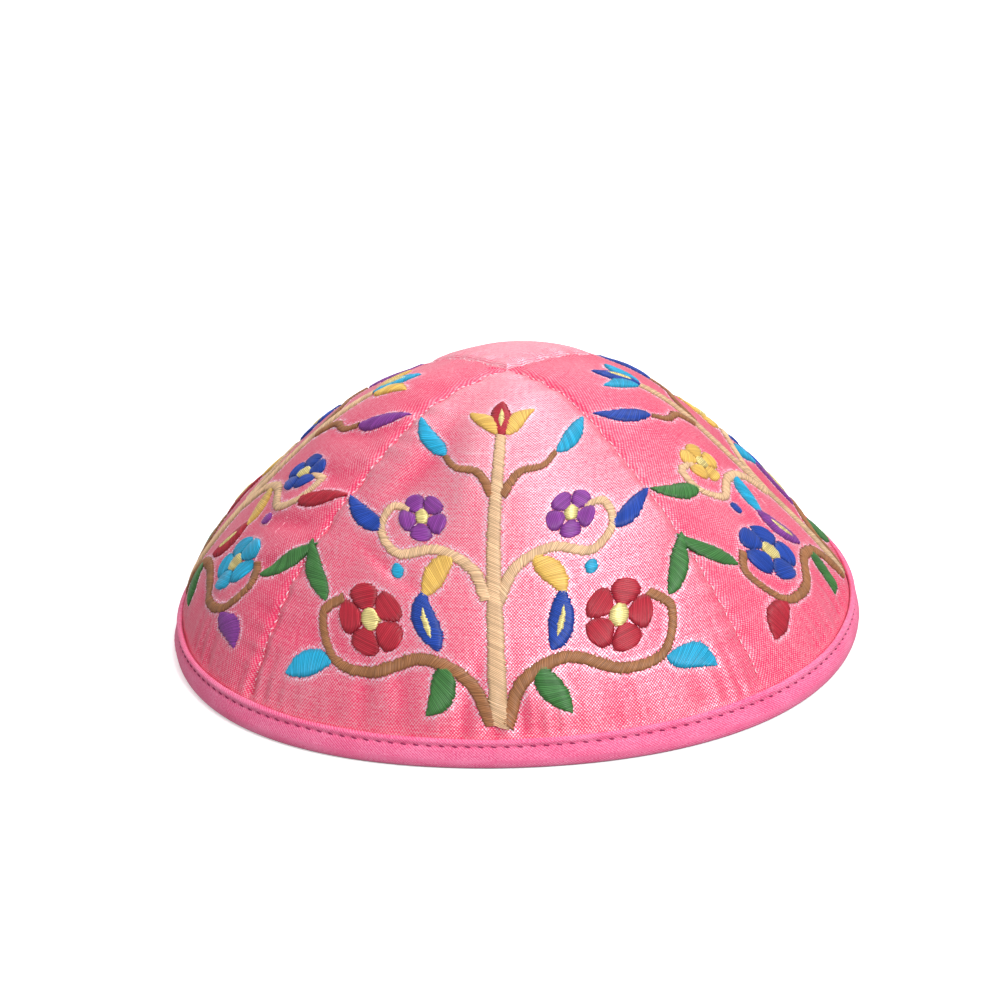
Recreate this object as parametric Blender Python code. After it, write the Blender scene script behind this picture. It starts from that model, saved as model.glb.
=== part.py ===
"""A four-panel cloth kippah: four crown panels sewn edge to edge, with a folded binding round the rim.

Metres, +Z up. The origin is on the floor under the middle of the cap, which rests on its binding.
The front panel faces -Y and the right panel faces +X.
"""

import math

import bmesh
import bpy
import numpy as np
from mathutils import Vector

MM = 0.001

# Crown
CROWN_WIDTH = 163.4 * MM  # across the cloth at the floor, between the middles of opposite panels
CROWN_HEIGHT = 64.2 * MM  # from the floor to the point where the four panels meet
CROWN_SWAY = 1.5 * MM  # how far the soft crown leans towards -X half-way up
CLOTH_WALL = 1.2 * MM  # silk, interlining and lining, sewn as one wall

# Seams between the panels
SEAM_GAP = 0.3 * MM  # from the side of one panel to the side of the next
SEAM_DIP = 0.45 * MM  # how far the cloth rolls in where it is sewn
SEAM_ROLL = 1.6 * MM  # how far from the seam the roll begins

# Binding round the rim
BINDING_WIDTH = 6.6 * MM  # from the floor to its upper edge, measured up the wall
BINDING_LEAF = 1.0 * MM  # each leaf, which is the tape folded double
BINDING_SLACK = 0.3 * MM  # between a leaf, or the fold, and the cloth that it covers
REST_FLAT = 1.4 * MM  # width of the strip that the cap's weight flattens on the floor

# Shape of the dome. A row is one level, at an angle of lift above the floor seen from the
# middle of the rim. The reach columns say how far the cloth reaches there in the middle of
# a panel and at a seam. They are shares of half the crown's width, level, and of its
# height, upright, so a plain half-ellipse would have 1 in each. The crease column is 0
# where the dome runs round a seam in a smooth curve and 1 where it comes to an edge there.
SECTION_COLUMNS = ("lift_deg", "panel_reach", "seam_reach", "crease")
SECTIONS = (
    (0, 1.000, 1.033, 0.0),
    (18, 0.945, 0.966, 0.3),
    (36, 0.907, 0.935, 0.6),
    (54, 0.937, 0.941, 0.7),
    (72, 1.000, 0.994, 0.5),
    (90, 1.000, 1.000, 0.0),
)
CREASE_SHARPNESS = 2.6  # power of the distance from the panel's middle, where there is an edge

# Soft dents and swells of the worn cloth. Azimuth 0 is -Y and 90 is +X. Depth is a share of
# the crown's height, inwards, and a swell has a negative one.
DENT_COLUMNS = ("azimuth_deg", "lift_deg", "azimuth_spread_deg", "lift_spread_deg", "depth")
DENTS = (
    (-24, 52, 14, 10, 0.009),
    (-33, 26, 8, 9, 0.006),
    (24, 34, 12, 10, 0.005),
    (43, 64, 15, 12, 0.020),
    (-94, 12, 34, 9, -0.012),
    (-106, 38, 24, 11, 0.007),
    (100, 7, 28, 6, -0.009),
    (114, 22, 22, 10, 0.014),
    (-128, 68, 24, 12, 0.014),
    (168, 70, 34, 12, -0.012),
    (196, 34, 14, 12, 0.006),
)
RIM_HOLD_DEG = 5  # lift up to which the binding holds the cloth in shape, so that dents fade out there

# Fineness of the faceted solids
PANEL_COLUMNS = 18
PANEL_ROWS = 15  # above the binding
BINDING_STEPS = 96
FOLD_STEPS = 3
EDGE_STEPS = 2

PANEL_FACINGS = {
    "panel_front": 0.0,
    "panel_right": 90.0,
    "panel_back": 180.0,
    "panel_left": 270.0,
}
PANEL_SPAN = math.tau / len(PANEL_FACINGS)
HALF_SPAN = PANEL_SPAN / 2

SILK_COLOUR = (0.86, 0.20, 0.30, 1.0)
BINDING_COLOUR = (0.87, 0.17, 0.33, 1.0)


def column_of(table, columns, name):
    """One named column of a table, as an array."""
    return np.array([row[columns.index(name)] for row in table], float)


def spline_through(knots, values):
    """A cubic through the rows of a table: free at the first row and level at the last."""
    steps = np.diff(knots)
    slopes = np.diff(values) / steps
    size = len(knots)
    system, right = np.zeros((size, size)), np.zeros(size)
    system[0, 0] = 1.0
    for i in range(1, size - 1):
        system[i, i - 1 : i + 2] = steps[i - 1], 2 * (steps[i - 1] + steps[i]), steps[i]
        right[i] = 6 * (slopes[i] - slopes[i - 1])
    system[-1, -2:] = steps[-1], 2 * steps[-1]
    right[-1] = -6 * slopes[-1]
    bends = np.linalg.solve(system, right)

    def value_at(x):
        i = int(np.clip(np.searchsorted(knots, x) - 1, 0, size - 2))
        a, b = knots[i + 1] - x, x - knots[i]
        h = steps[i]
        return (
            (bends[i] * a**3 + bends[i + 1] * b**3) / (6 * h)
            + (values[i] / h - bends[i] * h / 6) * a
            + (values[i + 1] / h - bends[i + 1] * h / 6) * b
        )

    return value_at


LEVELS = np.radians(column_of(SECTIONS, SECTION_COLUMNS, "lift_deg"))
panel_reach = spline_through(LEVELS, column_of(SECTIONS, SECTION_COLUMNS, "panel_reach"))
seam_reach = spline_through(LEVELS, column_of(SECTIONS, SECTION_COLUMNS, "seam_reach"))
crease_share = spline_through(LEVELS, column_of(SECTIONS, SECTION_COLUMNS, "crease"))


def from_panel_middle(azimuth):
    """The angle from the middle of the panel that the azimuth falls in."""
    return (azimuth + HALF_SPAN) % PANEL_SPAN - HALF_SPAN


def seam_share(azimuth, lift):
    """How far the seam's reach has taken over: 0 in a panel's middle and 1 at a seam."""
    turn = from_panel_middle(azimuth)
    rounded = math.sin(math.pi * turn / PANEL_SPAN) ** 2
    creased = abs(turn / HALF_SPAN) ** CREASE_SHARPNESS
    return rounded + (creased - rounded) * crease_share(lift)


def dent_depth(azimuth, lift):
    """How far the dents and swells press the cloth in, as a share of the crown's height."""
    total = 0.0
    for around, up, around_spread, up_spread, depth in DENTS:
        turn = (math.degrees(azimuth) - around + 180) % 360 - 180
        climb = math.degrees(lift) - up
        total += depth * math.exp(-((turn / around_spread) ** 2) - (climb / up_spread) ** 2)
    return total * (1 - math.exp(-((math.degrees(lift) / RIM_HOLD_DEG) ** 2)))


def section_point(azimuth, lift):
    """Radius and height of the cloth's outer face."""
    middle = panel_reach(lift)
    reach = middle + (seam_reach(lift) - middle) * seam_share(azimuth, lift)
    reach -= dent_depth(azimuth, lift)
    return CROWN_WIDTH / 2 * reach * math.cos(lift), CROWN_HEIGHT * reach * math.sin(lift)


def wall_point(azimuth, lift, out):
    """Radius and height of the point that lies out from the outer face, square to it."""
    small = 1e-4
    radius, height = section_point(azimuth, lift)
    low = section_point(azimuth, lift - small)
    high = section_point(azimuth, lift + small)
    rise, run = high[1] - low[1], low[0] - high[0]
    length = math.hypot(rise, run)
    return radius + out * rise / length, height + out * run / length


def lift_where(reached):
    """The lift at which reached(lift) turns from negative to positive, by halving."""
    low, high = math.radians(-4), math.radians(90)
    for _ in range(40):
        middle = (low + high) / 2
        if reached(middle) < 0:
            low = middle
        else:
            high = middle
    return (low + high) / 2


def climb_to(azimuth, lift):
    """Distance up the outer face from the floor, which is nearly straight so low down."""
    foot, here = section_point(azimuth, 0.0), section_point(azimuth, lift)
    return math.copysign(math.dist(foot, here), lift)


def placed(azimuth, radius, height):
    """The point in space, with the crown's lean."""
    lean = CROWN_SWAY * math.sin(math.pi * height / CROWN_HEIGHT) ** 2
    return Vector((radius * math.sin(azimuth) - lean, -radius * math.cos(azimuth), height))


FOLD_RADIUS = CLOTH_WALL / 2 + BINDING_SLACK + BINDING_LEAF
FOLD_HEIGHT = math.sqrt(FOLD_RADIUS**2 - (REST_FLAT / 2) ** 2)


def fold_lift(azimuth):
    """The lift at which the middle of the wall is as high as the centre of the binding's fold."""
    half_wall = CLOTH_WALL / 2
    return lift_where(lambda lift: wall_point(azimuth, lift, -half_wall)[1] - FOLD_HEIGHT)


def foot_lift(azimuth):
    """The lift of the panels' lower edge, which stands in the binding just clear of its fold."""
    start = climb_to(azimuth, fold_lift(azimuth))
    return lift_where(lambda lift: climb_to(azimuth, lift) - start - BINDING_SLACK)


def clasp_lift(azimuth):
    """The lift of the binding's upper edge, where the panels come out of it."""
    return lift_where(lambda lift: climb_to(azimuth, lift) - BINDING_WIDTH)


def seam_inset(radius, side, height):
    """How far the cloth rolls in at a point that is turned by side from the nearest seam.

    The roll begins above the binding, which clamps the cloth flat.
    """
    above = min(1.0, max(0.0, (height - BINDING_WIDTH) / SEAM_ROLL))
    distance = radius * math.sin(side)
    return SEAM_DIP * above * math.exp(-((distance / SEAM_ROLL) ** 2))


def panel_grid(facing, depth):
    """Rows of points this deep in the wall of a panel, from its foot up, and then its tip."""
    tip_radius = SEAM_GAP / 2 / math.sin(HALF_SPAN)
    tip_lift = lift_where(lambda lift: tip_radius - section_point(facing, lift)[0])
    rows = [[] for _ in range(PANEL_ROWS + 1)]
    for column in range(PANEL_COLUMNS + 1):
        across = math.sin(math.pi / 2 * (2 * column / PANEL_COLUMNS - 1))
        foot, clasp = foot_lift(facing + across * HALF_SPAN), clasp_lift(facing + across * HALF_SPAN)
        lifts = [foot, *(clasp + (tip_lift - clasp) * i / PANEL_ROWS for i in range(PANEL_ROWS))]
        for lift, points in zip(lifts, rows):
            radius, height = section_point(facing + across * HALF_SPAN, lift)
            side = math.asin(min(1.0, SEAM_GAP / 2 / radius))
            azimuth = facing + across * (HALF_SPAN - side)
            inset = seam_inset(radius, HALF_SPAN - abs(across) * (HALF_SPAN - side), height)
            points.append(placed(azimuth, *wall_point(azimuth, lift, -depth - inset)))
    tip = wall_point(facing, tip_lift, -depth - SEAM_DIP)
    return rows, placed(facing, tip_radius, tip[1])


def closed_mesh(name, build, colour):
    """A named object with its own material, whose mesh build(bmesh) fills."""
    mesh = bpy.data.meshes.new(name)
    shape = bmesh.new()
    build(shape)
    bmesh.ops.recalc_face_normals(shape, faces=shape.faces)
    shape.to_mesh(mesh)
    shape.free()
    mesh.shade_smooth()
    mesh.set_sharp_from_angle(angle=math.radians(40))
    material = bpy.data.materials.new(name + "_cloth")
    material.use_nodes = True
    surface = material.node_tree.nodes["Principled BSDF"]
    surface.inputs["Base Color"].default_value = colour
    surface.inputs["Roughness"].default_value = 0.6
    surface.inputs["Metallic"].default_value = 0.0
    mesh.materials.append(material)
    thing = bpy.data.objects.new(name, mesh)
    bpy.context.scene.collection.objects.link(thing)
    return thing


def build_panel(name, facing_deg):
    """A crown panel: a wall of cloth between two seams, from the binding up to its tip."""
    facing = math.radians(facing_deg)
    outer_rows, outer_tip = panel_grid(facing, 0.0)
    inner_rows, inner_tip = panel_grid(facing, CLOTH_WALL)

    def fill(shape):
        outer = [[shape.verts.new(p) for p in row] for row in outer_rows]
        inner = [[shape.verts.new(p) for p in row] for row in inner_rows]
        tips = shape.verts.new(outer_tip), shape.verts.new(inner_tip)
        for face, tip in ((outer, tips[0]), (inner, tips[1])):
            for low, high in zip(face, face[1:]):
                for i in range(PANEL_COLUMNS):
                    shape.faces.new((low[i], low[i + 1], high[i + 1], high[i]))
            for i in range(PANEL_COLUMNS):
                shape.faces.new((face[-1][i], face[-1][i + 1], tip))
        for i in range(PANEL_COLUMNS):
            shape.faces.new((outer[0][i], outer[0][i + 1], inner[0][i + 1], inner[0][i]))
        for i in (0, -1):
            edge = [row[i] for row in outer] + [tips[0]]
            back = [row[i] for row in inner] + [tips[1]]
            for k in range(len(edge) - 1):
                shape.faces.new((edge[k], edge[k + 1], back[k + 1], back[k]))

    return closed_mesh(name, fill, SILK_COLOUR)


def binding_section(azimuth):
    """The outline of the folded tape in one upright plane, as radius and height pairs."""
    top = clasp_lift(azimuth)
    shoulder_climb = BINDING_WIDTH - BINDING_LEAF / 2
    shoulder = lift_where(lambda lift: climb_to(azimuth, lift) - shoulder_climb)
    fold = fold_lift(azimuth)
    middle = wall_point(azimuth, fold, -CLOTH_WALL / 2)
    outward = wall_point(azimuth, fold, CLOTH_WALL / 2)
    normal = math.atan2(outward[1] - middle[1], outward[0] - middle[0])
    flat = math.asin(REST_FLAT / 2 / FOLD_RADIUS)
    covered = BINDING_SLACK, -CLOTH_WALL - BINDING_SLACK

    def upper_edge(near, far):
        """The rounded upper edge of a leaf, from its far face over to its near face."""
        centre, half = (near + far) / 2, (far - near) / 2
        points = []
        for step in range(1, 2 * EDGE_STEPS):
            turn = math.pi * step / (2 * EDGE_STEPS)
            lift = shoulder + (top - shoulder) * math.sin(turn)
            points.append(wall_point(azimuth, lift, centre + half * math.cos(turn)))
        return points

    def fold_arc(start, end):
        angles = [start + (end - start) * i / FOLD_STEPS for i in range(FOLD_STEPS + 1)]
        return [
            (middle[0] + FOLD_RADIUS * math.cos(a), middle[1] + FOLD_RADIUS * math.sin(a))
            for a in angles
        ]

    down = -math.pi / 2
    outer_face, inner_face = covered[0] + BINDING_LEAF, covered[1] - BINDING_LEAF
    return [
        *[(radius, max(0.0, height)) for radius, height in fold_arc(normal - math.pi, down - flat)],
        *[(radius, max(0.0, height)) for radius, height in fold_arc(down + flat, normal)],
        wall_point(azimuth, (fold + shoulder) / 2, outer_face),
        wall_point(azimuth, shoulder, outer_face),
        *upper_edge(covered[0], outer_face),
        wall_point(azimuth, shoulder, covered[0]),
        wall_point(azimuth, fold, covered[0]),
        wall_point(azimuth, fold, covered[1]),
        wall_point(azimuth, shoulder, covered[1]),
        *upper_edge(covered[1], inner_face),
        wall_point(azimuth, shoulder, inner_face),
    ]


def build_binding():
    """The tape folded over the rim: a closed ring, with the panels' feet in its channel."""
    rings = []
    for step in range(BINDING_STEPS):
        azimuth = math.tau * step / BINDING_STEPS
        rings.append([placed(azimuth, *pair) for pair in binding_section(azimuth)])

    def fill(shape):
        loops = [[shape.verts.new(p) for p in ring] for ring in rings]
        for here, there in zip(loops, loops[1:] + loops[:1]):
            for i, vertex in enumerate(here):
                j = (i + 1) % len(here)
                shape.faces.new((vertex, here[j], there[j], there[i]))

    return closed_mesh("binding", fill, BINDING_COLOUR)


def main():
    for thing in list(bpy.data.objects):
        bpy.data.objects.remove(thing)
    for name, facing in PANEL_FACINGS.items():
        build_panel(name, facing)
    build_binding()


main()
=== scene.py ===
"""The looks of the embroidered kippah: slubbed silk panels, satin-stitched flowers and a stitched binding.

Metres, +Z up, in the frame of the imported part. Azimuth 0 is -Y, the front, and 90 is +X.
Patterns on a panel are drawn flat, in millimetres: x runs across the panel from its middle, and
climb runs up its middle from the floor.
"""

import math

import bpy
import numpy as np
from mathutils import Matrix, Vector


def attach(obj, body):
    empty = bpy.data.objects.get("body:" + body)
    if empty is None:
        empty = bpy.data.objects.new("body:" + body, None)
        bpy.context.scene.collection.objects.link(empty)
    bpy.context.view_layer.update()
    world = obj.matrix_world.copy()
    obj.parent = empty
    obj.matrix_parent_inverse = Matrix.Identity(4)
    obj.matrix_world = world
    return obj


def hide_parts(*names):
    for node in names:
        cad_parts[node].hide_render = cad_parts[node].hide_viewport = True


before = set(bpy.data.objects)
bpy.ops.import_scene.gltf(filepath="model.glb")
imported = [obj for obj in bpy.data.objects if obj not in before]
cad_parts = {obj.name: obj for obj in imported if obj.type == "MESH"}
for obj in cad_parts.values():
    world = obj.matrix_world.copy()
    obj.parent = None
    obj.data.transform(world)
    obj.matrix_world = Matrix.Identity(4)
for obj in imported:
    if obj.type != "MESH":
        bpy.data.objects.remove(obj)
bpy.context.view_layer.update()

MM = 0.001

# Crown, as in the part
CROWN_WIDTH = 163.4 * MM
CROWN_HEIGHT = 64.2 * MM
CROWN_SWAY = 1.5 * MM
CLOTH_WALL = 1.2 * MM
SEAM_GAP = 0.1 * MM
SEAM_DIP = 0.70 * MM
SEAM_ROLL = 1.2 * MM

SECTION_COLUMNS = ("lift_deg", "panel_reach", "seam_reach", "crease")
SECTIONS = (
    (0, 1.000, 1.033, 0.0),
    (18, 0.945, 0.966, 0.3),
    (36, 0.907, 0.935, 0.6),
    (54, 0.937, 0.941, 0.7),
    (72, 1.000, 0.994, 0.5),
    (90, 1.000, 1.000, 0.0),
)
CREASE_SHARPNESS = 2.6

DENT_COLUMNS = ("azimuth_deg", "lift_deg", "azimuth_spread_deg", "lift_spread_deg", "depth")
DENTS = (
    (-24, 52, 14, 10, 0.009),
    (-33, 26, 8, 9, 0.006),
    (24, 34, 12, 10, 0.005),
    (43, 64, 15, 12, 0.020),
    (-94, 12, 34, 9, -0.012),
    (-106, 38, 24, 11, 0.007),
    (100, 7, 28, 6, -0.009),
    (114, 22, 22, 10, 0.014),
    (-128, 68, 24, 12, 0.014),
    (168, 70, 34, 12, -0.012),
    (196, 34, 14, 12, 0.006),
)
RIM_HOLD_DEG = 5

# Binding, as in the part
BINDING_WIDTH = 6.6 * MM
BINDING_LEAF = 1.0 * MM
BINDING_SLACK = 0.3 * MM
REST_FLAT = 1.4 * MM

# Fine wrinkles of the cloth: long soft hollows, in the panels' flat millimetres
FOLD_COLUMNS = ("facing_deg", "x", "climb", "turn_deg", "length", "width", "depth")
FOLDS = (
    (0, -15, 76, 62, 15, 4.5, 0.50),
    (0, -23, 64, 48, 14, 2.8, 0.34),
    (0, -8, 64, 80, 11, 4.0, -0.22),
    (0, -33, 45, 60, 12, 4.0, 0.20),
    (0, -24.6, 43.9, -30, 8, 1.9, 0.42),
    (0, -30.8, 54.5, -38, 6, 2.2, 0.30),
    (0, -44, 24, -8, 13, 6.5, 0.45),
    (0, 0.3, 12, 68, 5, 1.0, 0.30),
    (0, 2.6, 12, 112, 5, 1.0, 0.30),
    (0, -30, 16, 88, 9, 2.6, 0.35),
    (0, -21, 15, 96, 10, 2.8, 0.32),
    (0, -6, 16, 70, 11, 2.4, 0.36),
    (0, 4, 14, 115, 9, 2.4, 0.34),
    (0, 27, 16, 84, 8, 2.8, 0.25),
    (0, 40, 33, 64, 14, 4.0, 0.25),
    (270, 40, 36, 30, 13, 2.6, 0.45),
    (270, 34, 47, 20, 12, 2.8, 0.45),
    (270, 26, 60, 12, 11, 3.0, 0.42),
    (270, 18, 72, 25, 10, 3.0, 0.35),
    (270, 24, 26, 95, 16, 4.0, 0.35),
    (270, 12, 18, 80, 13, 4.0, -0.30),
    (90, -36, 28, 100, 13, 3.5, 0.30),
    (90, -20, 44, 70, 14, 4.0, 0.30),
    (90, 6, 30, 94, 18, 4.5, 0.30),
    (90, 24, 52, 120, 14, 4.0, 0.35),
    (180, -22, 50, 60, 16, 4.5, 0.40),
    (180, 14, 70, 110, 14, 4.5, 0.35),
    (180, 26, 26, 80, 14, 4.0, 0.35),
)
FOLD_GAIN = 2.2
PUCKER_PITCH = 7.0 * MM  # along a seam
PUCKER_DEPTH = 0.22 * MM
PUCKER_REACH = 6.5 * MM  # how far from the seam the puckers die out
PLEAT_COUNT = 92  # round the rim
PLEAT_DEPTH = 0.50 * MM
PLEAT_REACH = 8.0 * MM  # how far above the binding they die out
UNEVEN_DEPTH = 0.25 * MM  # broad softness of the cloth
SLACK = 0.35 * MM  # how far the cloth sinks in as a whole above the binding

# Fineness of the meshes
PANEL_COLUMNS = 168
PANEL_ROWS = 118
BINDING_STEPS = 780

# Embroidery, in millimetres
THREAD_PITCH = 0.40  # from one satin thread to the next
THREAD_RELIEF = 0.10  # from a thread's crest down to the groove between two
THREAD_STEPS = (0.0, 0.8, 1.0, 0.8)  # the relief across one thread, as shares
SATIN_ACROSS = 7  # faces along one thread
END_JITTER = 0.13
GROOVE_INSET = 0.16  # how much sooner the groove ends than the thread
SINK = 0.12  # how far a satin's edge goes into the cloth
DARKEST_THREAD = 0.45  # how light a thread may be, from 0 to 1, where the groove beside it is 0, a painted shade
BACK_REACH = 0.80  # the back spray's height against the others', as none of it shows over the top
DASH_EDGE = 0.02  # how far a pulled thread's sides lift off the cloth
DASH_CREST = 0.9  # its crest's height, as a share of its thickness
DASH_KEEL = 0.05  # how far its underside goes into the cloth

PANEL_FACINGS = {"front": 0.0, "right": 90.0, "back": 180.0, "left": 270.0}
PANEL_SPAN = math.tau / 4
HALF_SPAN = PANEL_SPAN / 2

# Camera, where the photograph was taken from
CAMERA_AZIMUTH = math.radians(3.62)
CAMERA_ELEVATION = math.radians(21.84)
CAMERA_ROLL = math.radians(2.6)
CAMERA_DISTANCE = 0.660
CAMERA_LENS = 98.8  # mm, on a 36 mm sensor
AIM_HEIGHT = 0.025
AIM_RIGHT = -0.00312  # from that point, so that the cap lies a little low and right
AIM_UP = 0.00446


def column_of(table, columns, name):
    """One named column of a table, as an array."""
    return np.array([row[columns.index(name)] for row in table], float)


def spline_through(knots, values):
    """A cubic through the rows of a table: free at the first row and level at the last."""
    steps = np.diff(knots)
    slopes = np.diff(values) / steps
    size = len(knots)
    system, right = np.zeros((size, size)), np.zeros(size)
    system[0, 0] = 1.0
    for i in range(1, size - 1):
        system[i, i - 1 : i + 2] = steps[i - 1], 2 * (steps[i - 1] + steps[i]), steps[i]
        right[i] = 6 * (slopes[i] - slopes[i - 1])
    system[-1, -2:] = steps[-1], 2 * steps[-1]
    right[-1] = -6 * slopes[-1]
    bends = np.linalg.solve(system, right)

    def value_at(x):
        i = np.clip(np.searchsorted(knots, x) - 1, 0, size - 2)
        a, b = knots[i + 1] - x, x - knots[i]
        h = steps[i]
        return (
            (bends[i] * a**3 + bends[i + 1] * b**3) / (6 * h)
            + (values[i] / h - bends[i] * h / 6) * a
            + (values[i + 1] / h - bends[i + 1] * h / 6) * b
        )

    return value_at


LEVELS = np.radians(column_of(SECTIONS, SECTION_COLUMNS, "lift_deg"))
panel_reach = spline_through(LEVELS, column_of(SECTIONS, SECTION_COLUMNS, "panel_reach"))
seam_reach = spline_through(LEVELS, column_of(SECTIONS, SECTION_COLUMNS, "seam_reach"))
crease_share = spline_through(LEVELS, column_of(SECTIONS, SECTION_COLUMNS, "crease"))


def from_panel_middle(azimuth):
    """The angle from the middle of the panel that the azimuth falls in."""
    return (azimuth + HALF_SPAN) % PANEL_SPAN - HALF_SPAN


def section(azimuth, lift):
    """Radius and height of the cloth's outer face, as in the part."""
    turn = from_panel_middle(azimuth)
    rounded = np.sin(math.pi * turn / PANEL_SPAN) ** 2
    creased = np.abs(turn / HALF_SPAN) ** CREASE_SHARPNESS
    share = rounded + (creased - rounded) * crease_share(lift)
    dent = 0.0
    for around, up, around_spread, up_spread, depth in DENTS:
        away = (np.degrees(azimuth) - around + 180) % 360 - 180
        climb = np.degrees(lift) - up
        dent = dent + depth * np.exp(-((away / around_spread) ** 2) - (climb / up_spread) ** 2)
    dent = dent * (1 - np.exp(-((np.degrees(lift) / RIM_HOLD_DEG) ** 2)))
    middle = panel_reach(lift)
    reach = middle + (seam_reach(lift) - middle) * share - dent
    return CROWN_WIDTH / 2 * reach * np.cos(lift), CROWN_HEIGHT * reach * np.sin(lift)


def placed(azimuth, radius, height):
    """Points in space, with the crown's lean, as an array whose last axis is x, y, z."""
    lean = CROWN_SWAY * np.sin(math.pi * height / CROWN_HEIGHT) ** 2
    return np.stack([radius * np.sin(azimuth) - lean, -radius * np.cos(azimuth), height], -1)


def wall(azimuth, lift, out):
    """Points that lie out from the cloth's outer face, square to it in the upright plane."""
    small = 1e-4
    radius, height = section(azimuth, lift)
    low, high = section(azimuth, lift - small), section(azimuth, lift + small)
    rise, run = high[1] - low[1], low[0] - high[0]
    length = np.hypot(rise, run)
    return placed(azimuth, radius + out * rise / length, height + out * run / length)


class Chart:
    """The flat drawing of one panel, in millimetres, and its place on the dome."""

    def __init__(self, facing_deg):
        self.facing = math.radians(facing_deg)
        self.lifts = np.radians(np.linspace(0.0, 89.9, 500))
        radii, heights = section(self.facing + 0 * self.lifts, self.lifts)
        steps = np.hypot(np.diff(radii), np.diff(heights))
        self.climbs = np.concatenate([[0.0], np.cumsum(steps)]) / MM
        self.radii = radii / MM

    def to_angles(self, x, climb):
        lift = np.interp(climb, self.climbs, self.lifts)
        return self.facing + x / np.interp(climb, self.climbs, self.radii), lift

    def to_flat(self, azimuth, lift):
        away = (azimuth - self.facing + math.pi) % math.tau - math.pi
        return away * np.interp(lift, self.lifts, self.radii), np.interp(lift, self.lifts, self.climbs)


CHARTS = {facing: Chart(facing) for facing in PANEL_FACINGS.values()}


def waves(count, seed, low, high):
    """A soft uneven function of two lengths in millimetres, about -1 to 1, from a few sines."""
    rng = np.random.default_rng(seed)
    angle = rng.uniform(0, math.pi, count)
    pitch = rng.uniform(low, high, count)
    phase = rng.uniform(0, math.tau, count)

    def value(x, y):
        total = 0.0
        for a, p, f in zip(angle, pitch, phase):
            total = total + np.sin(math.tau * (x * math.cos(a) + y * math.sin(a)) / p + f)
        return total / math.sqrt(count)

    return value


broad = waves(7, 3, 22, 60)
drift = waves(5, 11, 14, 40)


def folded(azimuth, lift):
    """How far the creases, the puckers beside the seams and the pleats over the rim press the cloth in."""
    total = 0.0
    for facing, x0, climb0, turn, length, width, depth in FOLDS:
        x, climb = CHARTS[float(facing)].to_flat(azimuth, lift)
        c, s = math.cos(math.radians(turn)), math.sin(math.radians(turn))
        along = (x - x0) * c + (climb - climb0) * s
        across = (climb - climb0) * c - (x - x0) * s
        total = total + FOLD_GAIN * depth * MM * np.exp(-((along / length) ** 2) - (across / width) ** 2)
    radius = section(azimuth, lift)[0]
    seam = radius * (HALF_SPAN - np.abs(from_panel_middle(azimuth)))
    climb = climb_at(azimuth, lift)
    side = np.round((azimuth - HALF_SPAN) / PANEL_SPAN)
    phase = 2.4 * drift(climb / MM, 31 * side)
    share = np.exp(-((seam / PUCKER_REACH) ** 2)) * np.clip((climb - BINDING_WIDTH) / (8 * MM), 0, 1)
    total = total + PUCKER_DEPTH * share * (1 + np.sin(math.tau * climb / PUCKER_PITCH + phase))
    above = np.clip(climb - BINDING_WIDTH, 0, None)
    fade = np.exp(-above / PLEAT_REACH) * np.clip(above / (1.5 * MM), 0, 1)
    pleat = np.sin(PLEAT_COUNT * azimuth + 2.6 * drift(60 * np.cos(azimuth), 60 * np.sin(azimuth)))
    strength = np.clip(0.55 + 0.45 * broad(150 * np.cos(azimuth), 150 * np.sin(azimuth)), 0, 1)
    return total + PLEAT_DEPTH * fade * (1 + pleat) * strength


def climb_at(azimuth, lift):
    """The climb up the wall from the floor, in metres, taken as the same at every azimuth."""
    return CHARTS[0.0].to_flat(0 * azimuth, lift)[1] * MM


def wrinkle(azimuth, lift):
    """How far the cloth lies inside the part's outer face, in metres."""
    radius, height = section(azimuth, lift)
    x, y = radius * np.sin(azimuth) / MM, radius * np.cos(azimuth) / MM
    above = np.clip(climb_at(azimuth, lift) - BINDING_WIDTH, 0, None)
    uneven = SLACK + UNEVEN_DEPTH * broad(x + 0.3 * height / MM, y)
    return folded(azimuth, lift) + uneven * np.clip(above / (10 * MM), 0, 1)


def cloth(azimuth, lift, out=0.0):
    """Points on the wrinkled cloth, or a distance out from it."""
    return wall(azimuth, lift, out - wrinkle(azimuth, lift))


def on_cloth(chart, x, climb, height):
    """Points over a flat drawing's points, at a height in millimetres square to the cloth."""
    azimuth, lift = chart.to_angles(x, climb)
    small = 2e-3
    here = cloth(azimuth, lift)
    across = cloth(azimuth + small, lift) - cloth(azimuth - small, lift)
    upward = cloth(azimuth, lift + small) - cloth(azimuth, lift - small)
    normal = np.cross(across, upward)
    normal /= np.linalg.norm(normal, axis=-1, keepdims=True)
    return here + normal * (height * MM)[..., None]


def lift_at(climb):
    """The lift at each climb up the wall from the floor, in metres, the same at every azimuth."""
    return np.interp(climb / MM, CHARTS[0.0].climbs, CHARTS[0.0].lifts)


def new_piece(name, points, faces, materials, indices=None, attributes=None):
    """A named mesh piece that rides on the cap."""
    mesh = bpy.data.meshes.new(name)
    mesh.from_pydata([tuple(p) for p in points], [], faces)
    for material in materials:
        mesh.materials.append(material)
    if indices is not None:
        mesh.polygons.foreach_set("material_index", np.asarray(indices, np.int32))
    for label, (kind, values) in (attributes or {}).items():
        layer = mesh.attributes.new(label, kind, "POINT")
        field = "vector" if kind == "FLOAT_VECTOR" else "value"
        layer.data.foreach_set(field, np.asarray(values, np.float32).ravel())
    mesh.shade_smooth()
    mesh.validate()
    thing = bpy.data.objects.new(name, mesh)
    bpy.context.scene.collection.objects.link(thing)
    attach(thing, "root")
    return thing


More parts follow.
